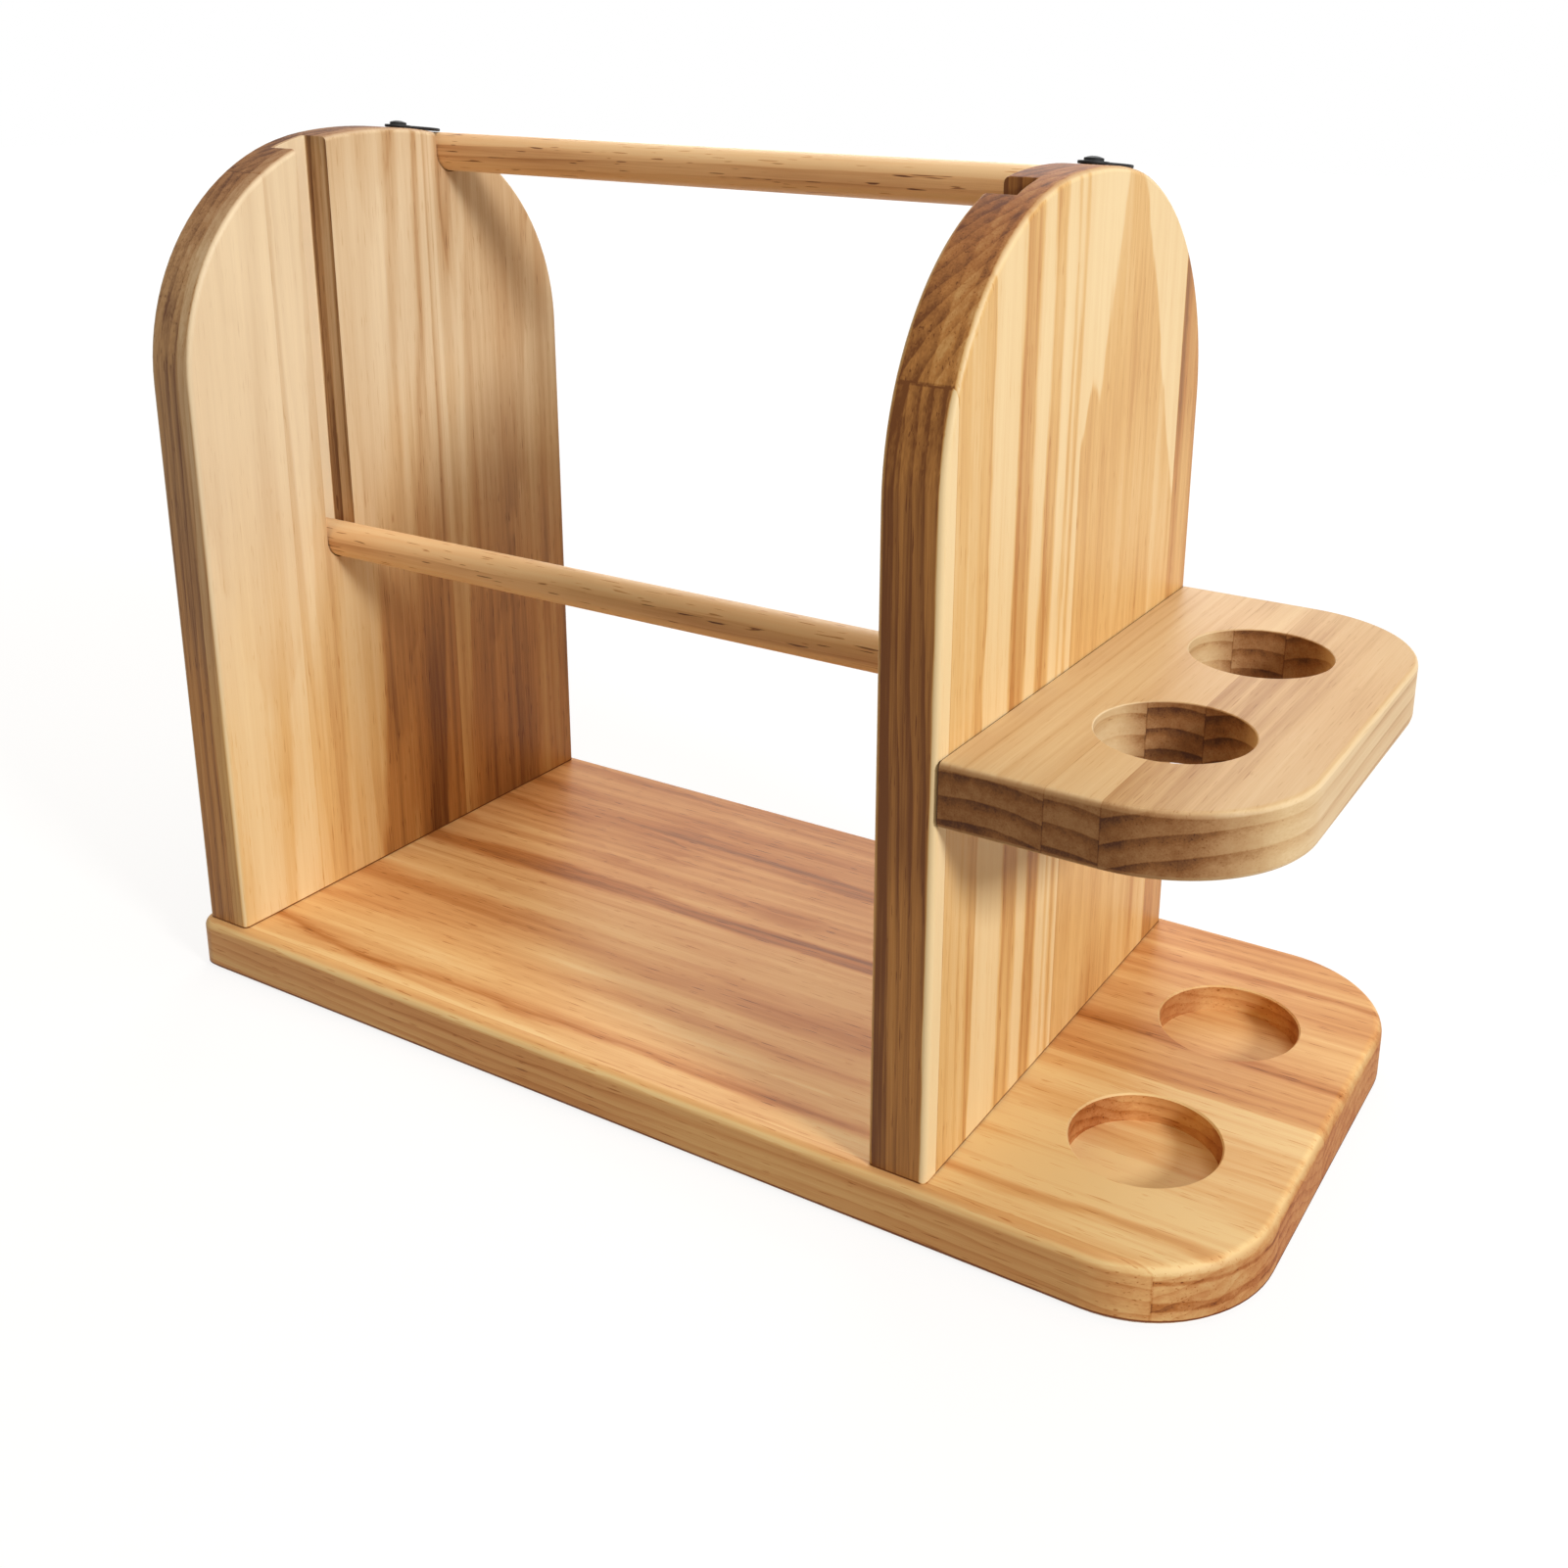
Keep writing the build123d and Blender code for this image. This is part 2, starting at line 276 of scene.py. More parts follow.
def panel_cutters(low, high, inner_face, inward, pivot_x):
    """Everything that is taken out of both panels alike."""
    cutters = [
        seat_cutter(upper_low, upper_high, inner_face, inward),
        seat_cutter(lower_low, lower_high, inner_face, inward),
    ]
    middle = (low.x + high.x) / 2
    for y in (-screw_offset_y, screw_offset_y):
        foot = (middle, y, base_high.z - overrun)
        cutters.append(bar("screw_hole", foot, (middle, y, screw_top), screw_radius + hole_clearance))
    crown_point = Vector((pivot_x, pivot_y, crown_z + crown_radius * cos(pivot_tilt)))
    deep = (crown_point.z - pivot_tip_z) / pivot_axis.z
    cutters.append(
        bar(
            "pivot_hole",
            crown_point + pivot_axis * overrun,
            crown_point - pivot_axis * deep,
            pivot_radius + hole_clearance,
        )
    )
    return cutters


print("the latch screws lean by", round(pivot_tilt * 180 / pi, 2), "degrees")

# %% [markdown]
# ## Left panel, right panel
# Both panels come from the same outline and the same cutters. Only the inner face, which the
# seats are cut from, lies on the other side, and the right panel has three more holes, for
# the dowels that hold the shelf. Each panel rides on the frame's body, takes the place of
# its plain solid and keeps its kind of wood.

# %% Two panels
def on_panel(u, v, w):
    """A panel's outline lies in Y and Z, and its thickness along X."""
    return Vector((w, u, v))


latch_inset = 7.7 * mm
left_panel = rounded_board("left_panel_board", arch, on_panel, left_low.x, left_high.x)
cut(left_panel, panel_cutters(left_low, left_high, left_high.x, -1, left_high.x - latch_inset))
ease_edges(left_panel)

right_panel = rounded_board("right_panel_board", arch, on_panel, right_low.x, right_high.x)
right_cutters = panel_cutters(right_low, right_high, right_low.x, 1, right_low.x + latch_inset)
dowel_low, dowel_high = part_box("shelf_dowels")
dowel_radius = (dowel_high.z - dowel_low.z) / 2 + hole_clearance
dowel_z = (dowel_low.z + dowel_high.z) / 2
dowel_ys = (dowel_low.y + dowel_radius, (dowel_low.y + dowel_high.y) / 2, dowel_high.y - dowel_radius)
dowel_gap = 0.5 * mm
for y in dowel_ys:
    start = (dowel_low.x - dowel_gap, y, dowel_z)
    right_cutters.append(bar("dowel_hole", start, (right_high.x + overrun, y, dowel_z), dowel_radius))
cut(right_panel, right_cutters)
ease_edges(right_panel)

for piece, node in ((left_panel, "left_panel"), (right_panel, "right_panel")):
    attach(piece, "frame")
    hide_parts(node)
    print(piece.name, len(piece.data.polygons), "faces before its edges are broken")

# %% [markdown]
# ## The cup shelf
# The shelf is a plain rectangle with two large round corners at its free end. It is drawn
# by the same function as the panels, only lying down, and the side that is glued to the
# panel stays square: its two points are rounded along the front and back edges only.

# %% Shelf outline, holes and dowel holes
shelf_corner_radius = 41 * mm
cup_hole_radius = 21 * mm
cup_from_end = 43 * mm
cup_half_spacing = 35.25 * mm
corner_steps = 26
corner_x = shelf_high.x - shelf_corner_radius
corner_y = shelf_high.y - shelf_corner_radius

shelf_outline = [(shelf_low.x, shelf_low.y, 0, -1)]
shelf_outline += arc((corner_x, -corner_y), shelf_corner_radius, -90, 0, corner_steps)
shelf_outline += arc((corner_x, corner_y), shelf_corner_radius, 0, 90, corner_steps)
shelf_outline += [(shelf_low.x, shelf_high.y, 0, 1)]


def on_shelf(u, v, w):
    """The shelf's outline lies in X and Y, and its thickness along Z."""
    return Vector((u, v, w))


cup_shelf = rounded_board("cup_shelf_board", shelf_outline, on_shelf, shelf_low.z, shelf_high.z)
cup_x = base_high.x - cup_from_end
hole_steps = 96
shelf_cutters = []
for y in (-cup_half_spacing, cup_half_spacing):
    foot = (cup_x, y, shelf_low.z - overrun)
    top = (cup_x, y, shelf_high.z + overrun)
    shelf_cutters.append(bar("cup_hole", foot, top, cup_hole_radius, hole_steps))
for y in dowel_ys:
    start = (shelf_low.x - overrun, y, dowel_z)
    shelf_cutters.append(bar("dowel_hole", start, (dowel_high.x + dowel_gap, y, dowel_z), dowel_radius))
cut(cup_shelf, shelf_cutters)
cup_rim_bevel = 0.5 * mm
cup_rim_steps = 3
ease_edges(cup_shelf, cup_rim_bevel, cup_rim_steps)
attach(cup_shelf, "frame")
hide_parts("cup_shelf")
print("shelf hole", round(2 * cup_hole_radius / mm, 1), "mm across")

# %% [markdown]
# ## The latches
# Each latch is a leaf stamped from thin sheet and painted matt black. The frame's own leaf
# has the right outline, so it stays. A stamped edge is never quite sharp: the flat faces
# are first merged, and then a narrow bevel breaks the edge so that it catches a little light.

# %% Break the stamped edges
stamped_bevel = 0.2 * mm
merge_distance = 0.001 * mm
flat_turn = radians(1)
for name in ("left_latch", "right_latch"):
    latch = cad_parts[name]
    weld = latch.modifiers.new("weld", "WELD")
    weld.merge_threshold = merge_distance
    flatten = latch.modifiers.new("merge flat faces", "DECIMATE")
    flatten.decimate_type = "DISSOLVE"
    flatten.angle_limit = flat_turn
    ease_edges(latch, stamped_bevel)
    print(name, "has", len(latch.data.polygons), "faces before they are merged")

# %% [markdown]
# ## Shader sums written as Python
# A wood finish is a long sum: rings, streaks, fibres and pores, each with its own size.
# Wired by hand it would be hard to read, so a small class wraps one output socket and
# turns + - * / into Math nodes. Every other node is made by one method of the recipe.

# %% Sockets that can be added and multiplied
class Field:
    """A number that changes over a surface: one output socket of a recipe's nodes."""

    def __init__(self, recipe, socket):
        self.recipe = recipe
        self.socket = socket

    def math(self, operation, *values):
        return self.recipe.add("ShaderNodeMath", {"operation": operation}, dict(enumerate(values)))

    def __add__(self, other):
        return self.math("ADD", self, other)

    def __radd__(self, other):
        return self.math("ADD", other, self)

    def __sub__(self, other):
        return self.math("SUBTRACT", self, other)

    def __rsub__(self, other):
        return self.math("SUBTRACT", other, self)

    def __mul__(self, other):
        return self.math("MULTIPLY", self, other)

    def __rmul__(self, other):
        return self.math("MULTIPLY", other, self)

    def __truediv__(self, other):
        return self.math("DIVIDE", self, other)

    def __pow__(self, other):
        return self.math("POWER", self, other)

    def __abs__(self):
        return self.math("ABSOLUTE", self)

    def above(self, limit):
        """One where the value is above the limit, and nought elsewhere."""
        return self.math("GREATER_THAN", self, limit)

    def part(self):
        """What is left of the value after its whole number."""
        return self.math("FRACT", self)

    def root(self):
        return self.math("SQRT", self)

    def nearer(self, other):
        """The smaller of two values."""
        return self.math("MINIMUM", self, other)

    def further(self, other):
        """The larger of two values."""
        return self.math("MAXIMUM", self, other)

    def rise(self, low, high):
        """A smooth rise from nought at low to one at high."""
        inputs = {0: self, 1: low, 2: high, 3: 0.0, 4: 1.0}
        return self.recipe.add("ShaderNodeMapRange", {"interpolation_type": "SMOOTHSTEP"}, inputs)

    def ramp(self, stops):
        """A colour or a grey for each value from nought to one."""
        return self.recipe.add("ShaderNodeValToRGB", {"stops": stops}, {0: self})

    def channel(self, number):
        """One of the three numbers of a colour or a vector."""
        return self.recipe.add("ShaderNodeSeparateXYZ", {}, {0: self}, number)


class Recipe:
    """The nodes of one material, or of the world. They all come from the add method."""

    def __init__(self, holder):
        self.holder = holder
        holder.use_nodes = True
        self.tree = holder.node_tree
        self.tree.nodes.clear()

    def add(self, kind, settings, inputs, output=0):
        """Makes a node, sets it up, feeds its sockets, and gives one of its outputs."""
        node = self.tree.nodes.new(kind)
        for name, value in settings.items():
            if name == "stops":
                fill_ramp(node.color_ramp, value)
            else:
                setattr(node, name, value)
        for name, value in inputs.items():
            if isinstance(value, Field):
                self.tree.links.new(value.socket, node.inputs[name])
            else:
                node.inputs[name].default_value = value
        return None if output is None else Field(self, node.outputs[output])

    def vector(self, x, y, z):
        return self.add("ShaderNodeCombineXYZ", {}, {0: x, 1: y, 2: z})

    def blend(self, amount, first, second, way="MIX"):
        """Two colours, mixed or multiplied."""
        settings = {"data_type": "RGBA", "blend_type": way}
        return self.add("ShaderNodeMix", settings, {0: amount, 6: first, 7: second}, 2)

    def finish(self, shade, roughness, **more):
        """Ends a material in one shader."""
        inputs = {"Base Color": shade, "Roughness": roughness, **more}
        shader = self.add("ShaderNodeBsdfPrincipled", {}, inputs)
        self.add("ShaderNodeOutputMaterial", {}, {"Surface": shader}, None)
        return self.holder


def fill_ramp(ramp, stops):
    """Sets a ramp's stops: (place, colour or grey)."""
    while len(ramp.elements) < len(stops):
        ramp.elements.new(1.0)
    for element, (place, value) in zip(ramp.elements, stops):
        element.position = place
        element.color = value if isinstance(value, tuple) else (value, value, value, 1.0)


print("besides sums, a field has:", ", ".join(n for n in vars(Field) if not n.startswith("_")))

# %% [markdown]
# ## What the wood is made of
# The boards are pine staves glued edge to edge, sawn, rounded and oiled. A real board is
# solid wood, so the finish is solid too: it is worked out at each point of the board in
# millimetres along the grain, across the staves, and into the thickness. Faces, edges and
# hole walls then show the same rings, because they cut through the same wood.
# A tone from 0 to 1 is worked out first, and only then looked up in a list of colours.

# %% Colours
def colour(red, green, blue):
    """A colour judged from 0 to 255, as the linear numbers that light needs."""
    shares = [c / 255 for c in (red, green, blue)]
    return (*[c / 12.92 if c <= 0.04045 else ((c + 0.055) / 1.055) ** 2.4 for c in shares], 1.0)


pine_tones = [
    (0.0, colour(238, 214, 168)),
    (0.25, colour(232, 203, 153)),
    (0.5, colour(221, 180, 118)),
    (0.75, colour(190, 134, 74)),
    (1.0, colour(118, 70, 30)),
]
rose_pine_tones = [
    (0.0, colour(250, 220, 162)),
    (0.25, colour(237, 192, 130)),
    (0.5, colour(220, 162, 102)),
    (0.75, colour(192, 124, 62)),
    (1.0, colour(124, 68, 30)),
]
grey_pine_tones = [
    (0.0, colour(228, 204, 164)),
    (0.25, colour(215, 187, 143)),
    (0.5, colour(203, 168, 122)),
    (0.75, colour(166, 122, 74)),
    (1.0, colour(98, 62, 36)),
]
pale_pine_tones = [
    (0.0, colour(236, 216, 182)),
    (0.25, colour(226, 204, 170)),
    (0.5, colour(212, 184, 146)),
    (0.75, colour(186, 146, 102)),
    (1.0, colour(112, 72, 40)),
]
beech_tones = [
    (0.0, colour(246, 214, 166)),
    (0.4, colour(236, 190, 138)),
    (0.7, colour(202, 146, 96)),
    (1.0, colour(100, 60, 36)),
]
print("palest pine, as light:", [round(c, 3) for c in pine_tones[0][1][:3]])

# %% [markdown]
# ## A place in a board
# A Texture Coordinate node gives each point's place and which way its surface faces. From
# the place come the stave that the point is in and its distance from the seam. From the
# facing come the end grain, the sides, and the round between two faces.
# No line in wood is straight, so a slow wander bends the grain, a quick ripple roughens it,
# and broad clouds make one part darker than another. All three are noise drawn out along
# the grain. Beside a seam the stripes are held straight, because there the stave was sawn.

# %% Boards of glued staves
axis_number = {"x": 0, "y": 1, "z": 2}
far_from_seams = 100.0
start_spread = 40.0
end_grain_turn = (0.35, 0.95)
side_turn = (0.25, 0.85)
round_edge_turn = (0.3, 1.0)
wander_noise, wander_share = (130.0, 30.0), 2.0
ripple_noise, ripple_share = (34.0, 7.0), 0.9
cloud_noise = (70.0, 26.0, 1.0)
seam_hold = 7.0


class Board:
    """A place in a board: along the grain, across the staves and deep, in millimetres."""

    def __init__(self, name, axes, middle, low, high, seams=(), seed=1.0, sway=4.0, slant=0.0):
        self.recipe = Recipe(bpy.data.materials.new(name))
        self.low, self.high, self.seams = low, high, seams
        place = self.recipe.add("ShaderNodeTexCoord", {}, {}, "Object")
        self.along, self.across, self.deep = (place.channel(axis_number[a]) / mm for a in axes)
        self.deep = self.deep - middle / mm
        self.find_stave(seed)
        self.find_faces(axes)
        self.bend_grain(sway, slant)

    def find_stave(self, seed):
        """Which stave a point is in, and three numbers by chance for that stave alone."""
        edges = [self.low, *self.seams, self.high]
        self.number = seed
        self.to_seam = far_from_seams
        self.from_middle = self.across - (edges[0] + edges[1]) / 2
        for last, seam, following in zip(edges, self.seams, edges[2:]):
            beyond = self.across - seam
            self.number = beyond.above(0.0) + self.number
            self.from_middle = self.from_middle - beyond.above(0.0) * ((following - last) / 2)
            self.to_seam = abs(beyond).nearer(self.to_seam)
        settings = {"noise_dimensions": "1D"}
        self.chance = self.recipe.add("ShaderNodeTexWhiteNoise", settings, {"W": self.number}, "Color")
        self.own_start = self.chance.channel(0) * start_spread

    def find_faces(self, axes):
        """How far a point lies on end grain, on a side, or on the round of an edge."""
        facing = self.recipe.add("ShaderNodeTexCoord", {}, {}, "Normal")
        flat = abs(facing.channel(axis_number[axes[2]]))
        self.end_grain = abs(facing.channel(axis_number[axes[0]])).rise(*end_grain_turn)
        self.side = (1.0 - flat).rise(*side_turn)
        self.round_edge = (flat * (1.0 - flat) * 4.0).rise(*round_edge_turn)

    def noise(self, length, width, detail=2.0):
        """Noise of that length along the grain and width across it, new in each stave."""
        along = self.along / length + self.own_start
        place = self.recipe.vector(along, self.across / width, self.deep / width)
        inputs = {"Vector": place, "Scale": 1.0, "Detail": detail}
        return self.recipe.add("ShaderNodeTexNoise", {}, inputs, "Fac")

    def bend_grain(self, sway, slant):
        """Where each point's stripe lies across the board, as a share of its width."""
        self.wander = (self.noise(*wander_noise) - 0.5) * (wander_share * sway)
        self.ripple = (self.noise(*ripple_noise) - 0.5) * (ripple_share * sway)
        self.clouds = self.noise(*cloud_noise) - 0.5
        held = self.to_seam.rise(0.0, seam_hold) if self.seams else 1.0
        where = self.across + (self.wander + self.ripple - self.along * slant) * held
        self.share = (where - self.low) / (self.high - self.low)

    def stripes(self, bands):
        """The tones of the stripes across the board, from pairs of place and tone."""
        width = self.high - self.low
        return self.share.ramp([((at - self.low) / width, tone) for at, tone in bands])

    def between(self, first, last):
        """One between two places across the board, and nought elsewhere."""
        return (self.across - first).above(0.0) * (last - self.across).above(0.0)


print("the grain wanders over about", wander_noise[0], "mm and ripples over", ripple_noise[0], "mm")

# %% [markdown]
# ## Hearts, layers and joint lines
# Three shapes are laid over the stripes. A heart is darker wood that a flat-sawn stave shows
# as a tall pointed shape, and a root of squares draws its blunt tip without a corner. A layer
# is a level of the thickness with a tone of its own, which the edges show as a long stripe.
# A joint line is the thin dark shadow where one board stands on another: the boards touch
# without a gap here, so the finish draws the line.

# %% Shapes over the stripes
heart_wander, heart_ripple = 1.2, 1.6
layer_ripple, layer_blur = 0.3, 0.4
joint_shadow_depth = 0.9


class Heart(NamedTuple):
    """Millimetres; spread and lean are millimetres for each one down from the tip."""

    centre: float
    tip: float
    bluntness: float
    spread: float
    lean: float
    softness: float
    tone: float
    first: float
    last: float

    def laid_on(self, board, tone):
        down = self.tip - board.along
        aside = board.across - down * self.lean - self.centre
        width = (aside**2.0 + self.bluntness**2).root()
        inside = self.bluntness + self.spread * down - width
        inside = inside + board.wander * heart_wander + board.ripple * heart_ripple
        inside = inside.rise(-self.softness, self.softness) * board.between(self.first, self.last)
        return tone + (self.tone - tone) * inside


class Layer(NamedTuple):
    """From first to last across the board, and from low to high in its thickness."""

    first: float
    last: float
    low: float
    high: float
    tone: float
    edges_only: bool = True

    def laid_on(self, board, tone):
        level = board.deep + board.ripple * layer_ripple
        inside = board.between(self.first, self.last)
        inside = inside * (level - self.low).rise(-layer_blur, layer_blur)
        inside = inside * (self.high - level).rise(-layer_blur, layer_blur)
        if self.edges_only:
            inside = inside * board.side
        return tone + (self.tone - tone) * inside


class JointShadowLine(NamedTuple):
    """A painted shadow line at one place along, across or deep in the board."""

    way: str
    at: float
    half_width: float

    def laid_on(self, board, tone):
        off = abs(getattr(board, self.way) - self.at)
        return tone + (1.0 - off.rise(self.half_width / 2, self.half_width)) * joint_shadow_depth


# Painted shadow: a thin dark line where each panel stands on the base.
panel_foot_shadow = JointShadowLine("along", base_high.z / mm, 0.7)
print("the panels' joint line is at", round(panel_foot_shadow.at, 2), "mm")

# %% [markdown]
# ## Rings
# A tree's rings are cylinders round its pith, and the pith lies somewhere outside a sawn
# board. Each stave is given its own pith by chance. The distance from it, counted in rings,
# goes through a ramp that is pale for most of a ring and dark just before the next one.
# On a flat face this gives broad figure, and on a sawn edge the curved lines of end grain.

# %% Rings round a pith
ring_shape = [(0.0, 0.0), (0.45, 0.12), (0.85, 0.85), (0.94, 1.0), (1.0, 0.0)]
pith_spread = 24.0
pith_least_depth, pith_more_depth = 40.0, 60.0
pith_slope = 0.05
ring_wobble = 0.5


def late_wood(board, spacing):
    """The dark outer part of each ring, from 0 to 1."""
    pith_across = board.from_middle + (board.chance.channel(0) - 0.5) * pith_spread
    pith_deep = board.deep + pith_least_depth + board.chance.channel(1) * pith_more_depth
    slope = (board.chance.channel(2) - 0.5) * pith_slope
    from_pith = (pith_across**2.0 + pith_deep**2.0).root() + board.along * slope
    from_pith = from_pith + board.wander * ring_wobble + board.ripple * ring_wobble
    return (from_pith / spacing).part().ramp(ring_shape)


print("a pith lies", pith_least_depth, "to", pith_least_depth + pith_more_depth, "mm from mid-board")

# %% [markdown]
# ## Fine grain
# Over the rings lie wide and narrow streaks, fibres half a millimetre thick, and short dark
# pores. Each is one noise of its own size, and each adds a little to the tone. A painted
# highlight makes the rounded edges paler than the faces.

# %% Rings, streaks, fibres and pores
wide_streak_noise = (240.0, 8.0, 1.0)
streak_noise = (150.0, 2.4, 3.0)
fibre_noise = (26.0, 0.5, 2.0)
pore_limits = (0.71, 0.78)
least_rings, cloudy_rings = 0.8, 2.4
fibre_depth, edge_fibre_depth = 0.2, 0.08
cloud_depth = 0.3


class Grain(NamedTuple):
    """How much each part changes the tone. Sizes are in millimetres."""

    ring_spacing: float = 3.6
    ring_depth: float = 0.09
    edge_ring_depth: float = 0.07
    streak_depth: float = 0.34
    pore_depth: float = 0.3
    pore_size: tuple = (9.0, 0.5)
    painted_edge_highlight: float = 0.3

    def laid_on(self, board, tone):
        """The tone with the grain in it, and the fibres and rings for the relief."""
        rings = late_wood(board, self.ring_spacing)
        wide_streaks = board.noise(*wide_streak_noise) - 0.5
        streaks = board.noise(*streak_noise) - 0.5
        fibres = board.noise(*fibre_noise) - 0.5
        pores = board.noise(*self.pore_size, detail=0.0).rise(*pore_limits)
        ring_strength = (board.clouds * cloudy_rings + least_rings) * self.ring_depth
        ring_strength = ring_strength + board.side * self.edge_ring_depth
        tone = tone + rings * ring_strength + (streaks + wide_streaks) * self.streak_depth
        tone = tone + fibres * (fibre_depth + board.side * edge_fibre_depth)
        tone = tone + board.clouds * cloud_depth + pores * self.pore_depth
        # Painted highlight: the rounds of the edges are made paler.
        return tone - board.round_edge * self.painted_edge_highlight, fibres, rings


print("where nothing else is said:", Grain())

# %% [markdown]
# ## The finish of a board
# The parts come together in order: stripes, hearts, the tone of the sides, layers, fine
# grain, glue lines and the painted shadow lines. A long board is not the same from end to
# end, so a second set of stripes fades in along the grain, and where the board's colour
# changes too, a second set of colours fades in with it. End grain soaks up more oil, so it
# is stained darker and left duller. The fibres and rings also feed a very shallow bump.

# %% Stripes to finished wood
fade_clouds, fade_ripple = 90.0, 6.0
glue_line, glue_line_depth = (0.08, 0.28), 0.14
end_grain_stain = colour(208, 188, 174)
oil_roughness, fibre_roughness, end_roughness = 0.46, 0.12, 0.2
oil_gloss = 0.25
ring_relief = 0.3
relief_depth, relief_strength = 0.06 * mm, 0.35


def wood(board, tones, bands, far_bands=(), fade=(0.0, 1.0), far_tones=(), hearts=(), layers=(),
         joints=(), edge_tone=0.55, end_depth=0.0, grain=Grain()):
    """The finish of one board. Its places are in millimetres; tones run from pale 0 to dark 1."""
    recipe = board.recipe
    tone = board.stripes(bands)
    if far_bands:
        far_share = board.along + board.clouds * fade_clouds + board.ripple * fade_ripple
        far_share = far_share.rise(*fade)
        tone = tone + (board.stripes(far_bands) - tone) * far_share
    for heart in hearts:
        tone = heart.laid_on(board, tone)
    tone = tone + (edge_tone - tone) * board.side + board.end_grain * end_depth
    for layer in layers:
        tone = layer.laid_on(board, tone)
    tone, fibres, rings = grain.laid_on(board, tone)
    if board.seams:
        tone = tone + (1.0 - board.to_seam.rise(*glue_line)) * glue_line_depth
    for shadow_line in joints:
        # Painted shadow: each shadow line darkens the tone in a thin strip.
        tone = shadow_line.laid_on(board, tone)

    shade = tone.ramp(tones)
    if far_tones:
        shade = recipe.blend(far_share, shade, tone.ramp(far_tones))
    shade = recipe.blend(board.end_grain, shade, end_grain_stain, "MULTIPLY")
    roughness = oil_roughness + fibres * fibre_roughness + board.end_grain * end_roughness
    height = fibres + rings * ring_relief
    relief = {"Height": height, "Strength": relief_strength, "Distance": relief_depth}
    normal = recipe.add("ShaderNodeBump", {}, relief, "Normal")
    finished = recipe.finish(shade, roughness, Normal=normal, **{"Specular IOR Level": oil_gloss})
    print(finished.name, "is made of", len(recipe.tree.nodes), "nodes")
    return finished


print("a glue line is dark to", glue_line[0], "mm from its seam, and gone at", glue_line[1], "mm")

# %% [markdown]
# ## The five finishes of the wood
# Each board's stripes, hearts and layers were judged from the real rack, in
# millimetres on the board, so that the well seen faces have their own character. The rest
# follows from the same solid wood. The right panel shows two hearts, and its front stave is
# darker at the edge, with a pale strip beside the outer face.

# %% Right panel
right_panel_wood = wood(
    Board(
        "right_panel_pine", "zyx", (right_low.x + right_high.x) / 2, low=-90.0, high=90.0,
        seams=(-80.0, 67.7), seed=3.0,
    ),
    pine_tones,
    bands=[
        (-86.0, 0.55), (-80.1, 0.55), (-79.9, 0.46), (-71.0, 0.38), (-66.0, 0.48), (-61.8, 0.56),
        (-61.6, 0.2), (-50.0, 0.12), (-46.5, 0.2), (-44.5, 0.66), (-41.0, 0.56), (-37.0, 0.6),
        (-34.5, 0.16), (-29.5, 0.1), (-27.5, 0.56), (-22.5, 0.54), (-19.5, 0.1), (-16.0, 0.1),
        (-14.5, 0.44), (-12.5, 0.1), (-9.5, 0.44), (-8.0, 0.12), (40.0, 0.1), (67.6, 0.12),
        (67.8, 0.72), (86.0, 0.66),
    ],
    hearts=[
        Heart(
            centre=20.5, tip=292.0, bluntness=4.0, spread=0.26, lean=0.12, softness=1.0, tone=0.5,
            first=-7.0, last=67.7,
        ),
        Heart(
            centre=1.0, tip=217.0, bluntness=3.0, spread=0.32, lean=0.0, softness=1.0, tone=0.52,
            first=-7.0, last=30.0,
        ),
    ],
    layers=[
        Layer(-80.0, 90.0, -12.0, 0.5, tone=0.82),
        Layer(-80.0, 90.0, 5.0, 6.5, tone=0.8),
        # The front stave's dark edge is partly its own wood and partly painted shade on the front edge,
        # which faces away from the key light.
        Layer(-90.0, -80.0, -12.0, -4.5, tone=1.0),
        Layer(-90.0, -80.0, -4.5, 12.0, tone=0.84),
        Layer(-90.0, -80.0, 7.2, 12.0, tone=0.0, edges_only=False),
    ],
    joints=[panel_foot_shadow],
    edge_tone=0.68,
    grain=Grain(pore_depth=0.16),
)

# %% [markdown]
# The left panel is the one that changes most from end to end: warm and dark behind near the
# foot, partly its own wood and partly painted shade where the right panel's shadow falls,
# and pale and a little grey at the crown. Its last layer is painted light: a pale strip on
# the floor of the long groove, where the key light falls.

